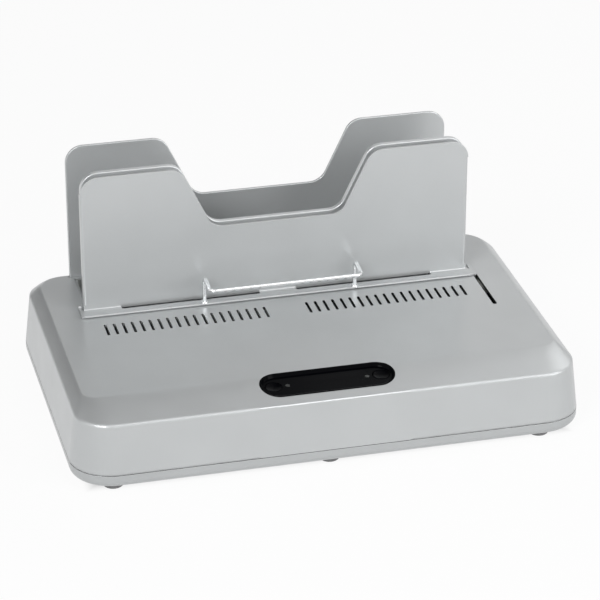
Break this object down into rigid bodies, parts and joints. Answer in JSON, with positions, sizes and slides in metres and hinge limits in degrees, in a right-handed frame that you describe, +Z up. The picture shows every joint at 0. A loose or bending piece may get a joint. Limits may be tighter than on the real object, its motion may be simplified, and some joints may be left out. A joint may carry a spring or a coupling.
{
  "type": "thermal binding machine",
  "caption": "Desktop thermal binding machine: low rounded housing, notched upright guides, a front guide that slides by its wire pull, heated channel, cooling vents and dark control strip",
  "frame": {"origin": "middle of the footprint of the tray, on the surface that the feet stand on", "axes": "X to the right along the long side, Y from the control strip towards the rear wall, Z up"},
  "size_m": [0.387, 0.256, 0.1727],
  "materials": {
    "silver_housing": "satin metallic paint on moulded plastic",
    "silver_tray": "satin metallic paint on moulded plastic",
    "silver_guide": "satin metallic paint on steel sheet",
    "silver_divider": "satin metallic paint on moulded plastic",
    "bright_wire": "polished plating",
    "black_rubber": "soft matt",
    "black_gloss": "polished",
    "clear_lens": "clear polished",
    "white_plastic": "natural acetal",
    "dark_plastic": "fine matt",
    "ground_steel": "ground",
    "zinc_steel": "zinc plated",
    "brass_parts": "plain turned",
    "bare_aluminium": "fine milled",
    "ceramic": "unglazed white ceramic",
    "green_board": "solder mask",
    "iron_core": "varnished laminations",
    "can_sleeve": "shrink sleeve",
    "lead_sleeve": "woven glass sleeve",
    "green_terminal": "plain moulded"
  },
  "bodies": {
    "base": {"upper_housing": "silver_housing", "bottom_cover": "silver_tray", "rubber_feet": "black_rubber", "slide_rod": "ground_steel", "rod_brackets": "zinc_steel", "rod_clips": "zinc_steel", "centre_guide": "silver_divider", "rear_guide": "silver_guide", "guide_spacers": "brass_parts", "guide_screws": "zinc_steel", "heating_trough": "zinc_steel", "heater_plate": "bare_aluminium", "heating_elements": "dark_plastic", "element_clamps": "zinc_steel", "insulator_standoffs": "ceramic", "heater_screws": "zinc_steel", "trough_screws": "zinc_steel", "heat_shield": "zinc_steel", "thermostat": "dark_plastic", "thermal_fuse": "ceramic", "sensor_bracket": "zinc_steel", "sensor_pin": "ground_steel", "sensor_spring": "ground_steel", "sensor_switch": "dark_plastic", "control_window": "black_gloss", "indicator_lights": "clear_lens", "control_board": "green_board", "key_switches": "dark_plastic", "indicator_leds": "clear_lens", "power_board": "green_board", "transformer": "iron_core", "relay": "dark_plastic", "filter_capacitors": "can_sleeve", "terminal_block": "green_terminal", "buzzer": "dark_plastic", "board_screws": "zinc_steel", "power_inlet": "dark_plastic", "inner_leads": "lead_sleeve", "housing_screws": "zinc_steel"},
    "front_carriage": {"front_guide": "silver_guide", "wire_handle": "bright_wire", "slide_block": "white_plastic", "friction_plug": "dark_plastic"},
    "left_key": {"left_button": "black_gloss"},
    "right_key": {"right_button": "black_gloss"},
    "document_sensor": {"sensor_lever": "white_plastic"}
  },
  "joints": [
    {"name": "front_guide_slide", "type": "slide", "parent": "base", "child": "front_carriage", "axis": [0, -1, 0], "range_m": [0, 0.051]},
    {"name": "left_button_press", "type": "slide", "parent": "base", "child": "left_key", "axis": [0, 0.0802, -0.9968], "range_m": [0, 0.0012], "stiffness_N_per_m": 900, "springref_m": -0.001},
    {"name": "right_button_press", "type": "slide", "parent": "base", "child": "right_key", "axis": [0, 0.0802, -0.9968], "range_m": [0, 0.0012], "stiffness_N_per_m": 900, "springref_m": -0.001},
    {"name": "sensor_lever_pivot", "type": "hinge", "parent": "base", "child": "document_sensor", "pos_m": [-0.0023, 0.072, 0.023], "axis": [-1, 0, 0], "range_deg": [0, 33], "stiffness_Nm_per_rad": 0.02, "springref_deg": -20.05}
  ]
}
